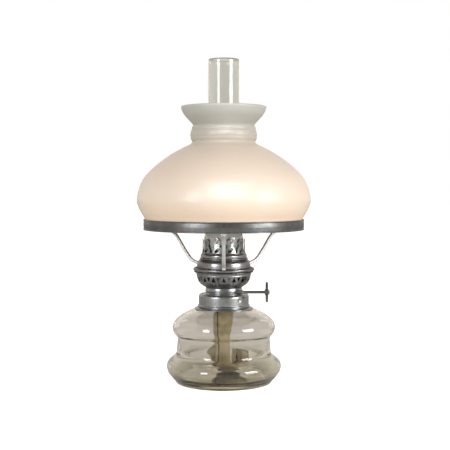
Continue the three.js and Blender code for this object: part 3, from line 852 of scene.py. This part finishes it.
def holder_arm(index):
    """Bent bar from the base ring up under the shade ring, flattened where it is riveted."""
    direction = -math.pi / 2 + TAU * index / ARMS
    route = smooth_line(
        [(34.6, 136.4), (34.8, 138.2), (35.8, 139.8), (37.8, 141.0), (41.6, 142.4), (45.4, 144.5),
         (49, 148.2), (52.4, 152.6), (55.6, 156.9), (59.0, 161.8), (62.2, 166.6), (66.4, 172.4),
         (70.8, 176.1), (76.5, 178.4), (82, 179.8), (86.5, 180.2), (90.6, 180.2)], 5
    )
    build = bmesh.new()
    rings = []
    for i, (r, z) in enumerate(route):
        before, after = route[max(i - 1, 0)], route[min(i + 1, len(route) - 1)]
        run, rise = after[0] - before[0], after[1] - before[1]
        length = math.hypot(run, rise)
        flat = min(1.0, max(0.0, (r - 72) / 10))
        section = bar_section(2.1 + 1.2 * flat, 1.9 - 0.9 * flat, 1.7 - 0.9 * flat)
        ring = []
        for across, up in section:
            outward, height = r - up * rise / length, z + up * run / length
            ring.append(build.verts.new((outward * MM, across * MM, height * MM)))
        rings.append(ring)
    for near, far in zip(rings, rings[1:]):
        for k in range(len(near)):
            n = (k + 1) % len(near)
            build.faces.new([near[k], near[n], far[n], far[k]])
    build.faces.new(rings[0][::-1])
    build.faces.new(rings[-1])
    bmesh.ops.remove_doubles(build, verts=build.verts, dist=1e-7)
    bmesh.ops.recalc_face_normals(build, faces=build.faces)
    name = f"holder_arm_{index + 1}_fine"
    mesh = bpy.data.meshes.new(name)
    build.to_mesh(mesh)
    build.free()
    mesh.transform(Matrix.Rotation(direction, 4, "Z"))
    shade_smooth(mesh, 50)
    return new_piece(name, mesh, "holder", SATIN_STEEL, [f"holder_arm_{index + 1}"])


def arm_rivet(index):
    """Domed rivet head on the ring's flange, and its set end under the arm."""
    node = f"arm_rivet_{index + 1}"
    corner_low, corner_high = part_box(node)
    centre = (corner_low + corner_high) / 2
    head = corner_high.z / MM
    profile = [
        (0, 178.3), (1.6, 178.3), *arc((1.2, 178.7), 0.5, -20, 60, 3), (1.4, head - 1.5), (2.4, head - 1.4),
        *smooth_line([(2.3, head - 0.9), (1.6, head - 0.3), (0.8, head - 0.05)], 3), (0, head),
    ]
    mesh = turned(f"{node}_fine", profile, SMALL)
    mesh.transform(Matrix.Translation((centre.x, centre.y, 0)))
    return new_piece(f"{node}_fine", mesh, "holder", SATIN_STEEL, [node])


def shade_ring():
    """Ring band with a rolled bead along each edge and a narrow flange inside."""
    bottom, top = low("shade_ring"), high("shade_ring")
    outer = reach("shade_ring")
    flange = bottom + 1.2
    lining = outer - 1.6
    outside = [
        (84, bottom),
        (outer - 1.4, bottom),
        *arc((outer - 0.8, bottom + 0.8), 0.8, -90, 50, 7),
        (outer - 0.62, bottom + 1.75),
        (outer - 0.55, bottom + 2.6),
        *smooth_line([(outer - 0.45, bottom + 4), (outer - 0.3, bottom + 6.4), (outer - 0.45, top - 3.6)], 4),
        (outer - 0.55, top - 2.2),
        (outer - 0.62, top - 1.7),
        *arc((outer - 0.75, top - 0.75), 0.75, -50, 90, 7),
        (lining + 0.3, top),
        (lining, top - 0.3),
        (lining, flange + 0.5),
        (lining - 0.5, flange),
        (84.3, flange),
        (84, flange - 0.3),
    ]
    mesh = turned("shade_ring_fine", outside, 216)
    holes = []
    for i in range(ARMS):
        corner_low, corner_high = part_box(f"arm_rivet_{i + 1}")
        centre = (corner_low + corner_high) / 2
        drill = [(0, bottom - 2), (1.7, bottom - 2), (1.7, flange + 2), (0, flange + 2)]
        hole = turned("rivet_hole", drill, SMALL)
        hole.transform(Matrix.Translation((centre.x, centre.y, 0)))
        holes.append(hole)
    mesh = pierce(mesh, holes)
    return new_piece("shade_ring_fine", mesh, "holder", SHADED_RING_PEWTER, ["shade_ring"])


# ---- Wick ----------------------------------------------------------------------------------------

WICK_WIDTH = 65.0  # the flat band, in mm
WICK_THICK = 1.5
WICK_STEPS = 72  # faces across the band
UV_LENGTH = 100  # mm along the band for one unit of its UV map

# The band's way down, in mm and degrees: the middle of its curl (x, y, z), the curl's
# radius at the band's two edges, where the band's middle faces (0 is the front, positive
# towards +X), how deep the curl is for its width, and the turn of the curl about Z.
WICK_WAY = [
    (0, 0, 138, 10.95, 10.95, 0, 1.0, 0),
    (0, 0, 124, 10.95, 10.95, 0, 1.0, 0),
    (0, 0, 110, 10.95, 10.95, 0, 1.0, 0),
    (0, 0, 97, 10.95, 10.95, 0, 1.0, 0),
    (0, 0, 84, 10.95, 10.95, 2, 1.0, 0),
    (-1.2, 0.2, 70, 10.4, 11.4, 8, 0.98, 0),
    (-2.5, 0.6, 56, 7.6, 10.2, 18, 0.9, 0),
    (-2.0, 0.8, 44, 6.1, 9.0, 25, 0.9, 0),
    (-1.6, 1.0, 34, 6.2, 9.2, 25, 0.85, -5),
    (-1.8, 1.6, 26, 8.2, 10.6, 20, 0.7, -12),
    (-2.5, 3.6, 19, 12.0, 13.2, 8, 0.5, -25),
    (-1.0, 8.0, 13.8, 14.5, 15.0, 0, 0.36, -35),
    (5.0, 15.0, 12.3, 15.0, 15.0, 0, 0.3, -37),
    (12.0, 23.5, 13.0, 14.0, 14.0, 0, 0.3, -37),
    (17.5, 30.5, 17.5, 12.5, 12.5, 0, 0.3, -35),
    (20.0, 33.5, 25.0, 11.5, 11.5, 0, 0.35, -35),
    (20.5, 34.2, 31.0, 11.0, 11.0, 0, 0.4, -35),
]


def wick_row(station, travel):
    """Points across the band at one station, each with its place across the band.

    Below the burner the band is loose, so it waves, has a groove along its marker thread,
    and its right-hand edge swings out as a tail.
    """
    x, y, z, edge_left, edge_right, facing, depth, turn = station
    sideways = Vector((math.cos(math.radians(turn)), math.sin(math.radians(turn)), 0))
    outward = travel.cross(sideways).normalized()
    loose = min(1.0, max(0.0, (78 - z) / 25))
    points = []
    angles = [0.0]
    for k in range(WICK_STEPS):
        middle = (k + 0.5) / WICK_STEPS
        curl = edge_left + (edge_right - edge_left) * middle
        angles.append(angles[-1] + WICK_WIDTH / WICK_STEPS / curl)
    centre = angles[WICK_STEPS // 2] - math.radians(facing)
    for k, angle in enumerate(angles):
        u = k / WICK_STEPS
        r = edge_left + (edge_right - edge_left) * u
        wide_wave = 0.35 * math.sin(5 * u * math.pi + z * 0.09)
        fine_wave = 0.2 * math.sin(11 * u * math.pi - z * 0.2)
        groove = 0.9 * math.exp(-(((u - MARKER_THREAD) / 0.03) ** 2))
        r += loose * (wide_wave + fine_wave - groove)
        tail = max(0.0, (u - 0.82) / 0.18) ** 2 * math.exp(-(((z - 31) / 9) ** 2))
        a = (r + 13 * tail) * math.sin(angle - centre)
        b = (r + 3 * tail) * depth * math.cos(angle - centre)
        points.append((Vector((x, y, z)) + a * sideways + b * outward, u))
    return points


def wick():
    """A flat woven band curled to a tube in the burner, a tighter curl in the font.

    It opens on the font's floor, and its end lifts at the back. It isn't parted round the
    air duct, so inside the burner it passes through the duct's walls.
    """
    drop = high("wick") - WICK_WAY[0][2]
    stations = [(x, y, z + drop, *rest) for x, y, z, *rest in smooth_line(WICK_WAY, 7)]
    centres = [Vector(station[:3]) for station in stations]
    build = bmesh.new()
    uv_layer = build.loops.layers.uv.new("UVMap")
    grid = []
    length = 0.0
    for i, station in enumerate(stations):
        travel = (centres[min(i + 1, len(centres) - 1)] - centres[max(i - 1, 0)]).normalized()
        length += (centres[i] - centres[max(i - 1, 0)]).length
        row = wick_row(station, travel)
        grid.append([(build.verts.new(point * MM), u, length) for point, u in row])
    for near, far in zip(grid, grid[1:]):
        for k in range(WICK_STEPS):
            corners = [near[k], near[k + 1], far[k + 1], far[k]]
            face = build.faces.new([c[0] for c in corners])
            for loop, corner in zip(face.loops, corners):
                loop[uv_layer].uv = (corner[1], corner[2] / UV_LENGTH)
    bmesh.ops.recalc_face_normals(build, faces=build.faces)
    mesh = bpy.data.meshes.new("wick_band")
    build.to_mesh(mesh)
    build.free()
    piece = new_piece("wick_band", mesh, "wick", COTTON, ["wick"])
    thick = piece.modifiers.new("thickness", "SOLIDIFY")
    thick.thickness = WICK_THICK * MM
    thick.offset = 0
    apply_modifiers(piece)
    shade_smooth(piece.data, 60)
    return piece


# ---- The lamp ---------------------------------------------------------------------------------------

font_glass()
font_collar()
burner_seal()
burner_base()
burner_basket()
gallery_dome()
gallery_crown()
raiser_shaft()
raiser_gland()
knob_wheel()
knob_cap()
wick()
holder_base_ring()
shade_ring()
for arm in range(ARMS):
    holder_arm(arm)
    arm_rivet(arm)
chimney_glass()
opal_shade()

# CAD nodes whose shape is right as it is: they only get a better material.
SPUR_WHEELS = 4
KEPT = {
    PLASTER: ["collar_cement"],
    SHADED_PEWTER: [
        "burner_deck", "outer_wick_tube", "inner_air_tube", "raiser_bearing", "raiser_collar",
        *[f"spur_wheel_{i + 1}" for i in range(SPUR_WHEELS)],
    ],
}
for material, names in KEPT.items():
    for name in names:
        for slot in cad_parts[name].material_slots:
            slot.link = "OBJECT"
            slot.material = material


# ---- Stage, light and camera ---------------------------------------------------------------------------


FLOOR_HALF = 9.0  # metres from the lamp to each edge of the floor
PAPER_GLOW = 0.84  # light that the paper adds for the camera, so that it shows as white


def floor():
    """Plain paper that shows as white to the camera and bounces warm light elsewhere."""
    half = FLOOR_HALF
    corners = [(-half, -half, 0), (half, -half, 0), (half, half, 0), (-half, half, 0)]
    mesh = bpy.data.meshes.new("floor")
    mesh.from_pydata(corners, [], [(0, 1, 2, 3)])
    piece = bpy.data.objects.new("floor", mesh)
    bpy.context.scene.collection.objects.link(piece)
    surface = Surface("paper", Roughness=0.9)
    shader = surface.shader
    shader.inputs["Specular IOR Level"].default_value = 0
    shader.inputs["Base Color"].default_value = (0.62, 0.595, 0.555, 1)
    shader.inputs["Emission Color"].default_value = (1, 1, 1, 1)
    rays = surface.nodes.new("ShaderNodeLightPath")
    glow = surface.math("MULTIPLY", rays.outputs["Is Camera Ray"], PAPER_GLOW)
    surface.link(glow, shader.inputs["Emission Strength"])
    mesh.materials.append(surface.material)


def area_light(name, azimuth, elevation, distance, size, power, colour=(1, 1, 1), glossy=True):
    """Soft box aimed at the lamp. Azimuth 0 is the front, and positive is to the right."""
    light = bpy.data.lights.new(name, "AREA")
    light.shape = "RECTANGLE"
    light.size, light.size_y = size
    light.energy = power
    light.color = colour
    holder = bpy.data.objects.new(name, light)
    bpy.context.scene.collection.objects.link(holder)
    side, rise = math.radians(azimuth), math.radians(elevation)
    aim = Vector((0, 0, 0.2))
    offset = Vector((math.sin(side) * math.cos(rise), -math.cos(side) * math.cos(rise), math.sin(rise)))
    holder.location = aim + distance * offset
    holder.rotation_euler = (-offset).to_track_quat("-Z", "Y").to_euler()
    holder.visible_glossy = glossy
    holder.visible_transmission = False
    holder.visible_camera = False
    return holder


# The room's colour, from its front wall (0) to its back wall (1).
ROOM_WALLS = [
    (0.0, (0.20, 0.20, 0.20, 1)),
    (0.45, (0.64, 0.63, 0.61, 1)),
    (1.0, (0.82, 0.745, 0.665, 1)),
]


def room():
    """Room light that is dim in front and warm behind, and shows as white to the camera."""
    world = bpy.data.worlds.new("studio")
    world.use_nodes = True
    nodes, links = world.node_tree.nodes, world.node_tree.links
    direction = nodes.new("ShaderNodeSeparateXYZ")
    links.new(nodes.new("ShaderNodeTexCoord").outputs["Generated"], direction.inputs[0])
    depth = nodes.new("ShaderNodeMapRange")
    depth.inputs["From Min"].default_value = -1
    links.new(direction.outputs["Y"], depth.inputs["Value"])
    walls = nodes.new("ShaderNodeValToRGB")
    walls.color_ramp.elements.new(0.5)
    for element, (place, shade) in zip(walls.color_ramp.elements, ROOM_WALLS):
        element.position = place
        element.color = shade
    links.new(depth.outputs["Result"], walls.inputs["Fac"])
    seen_by_lamp = nodes["Background"]
    links.new(walls.outputs["Color"], seen_by_lamp.inputs["Color"])
    seen_by_camera = nodes.new("ShaderNodeBackground")
    seen_by_camera.inputs["Color"].default_value = (1, 1, 1, 1)
    rays = nodes.new("ShaderNodeLightPath")
    choice = nodes.new("ShaderNodeMixShader")
    links.new(rays.outputs["Is Camera Ray"], choice.inputs[0])
    links.new(seen_by_lamp.outputs[0], choice.inputs[1])
    links.new(seen_by_camera.outputs[0], choice.inputs[2])
    links.new(choice.outputs[0], nodes["World Output"].inputs["Surface"])
    bpy.context.scene.world = world


def lights():
    """Two windows that the gloss shows, a soft fill, and a glow on the shade's gloss alone."""
    area_light("window_left", -39, 12, 1.6, (0.45, 0.7), 12)
    area_light("window_right", 57, 12, 1.6, (0.75, 0.7), 19)
    area_light("front_fill", 4, 20, 2.4, (1.6, 1.2), 15.5, (0.97, 0.985, 1), glossy=False)
    glow = area_light("shade_glow", 5, 30, 2.0, (1.6, 1.2), 62, (1, 0.93, 0.98))
    glow.visible_diffuse = False
    shade_only = bpy.data.collections.new("shade_only")
    shade_only.objects.link(bpy.data.objects["opal_shade_fine"])
    glow.light_linking.receiver_collection = shade_only


def camera():
    """Just above the middle of the lamp, and a little to the right of its axis."""
    side, distance, height, aim_height = 1.5 * MM, 1.1638, 0.238, 0.1869
    data = bpy.data.cameras.new("camera")
    data.lens = 78.4
    data.sensor_width = 36
    holder = bpy.data.objects.new("camera", data)
    bpy.context.scene.collection.objects.link(holder)
    holder.location = (side, -distance, height)
    aim = Vector((side, 0, aim_height))
    holder.rotation_euler = (aim - holder.location).to_track_quat("-Z", "Y").to_euler()
    bpy.context.scene.camera = holder


floor()
room()
lights()
camera()
bpy.context.scene.view_settings.view_transform = "Standard"
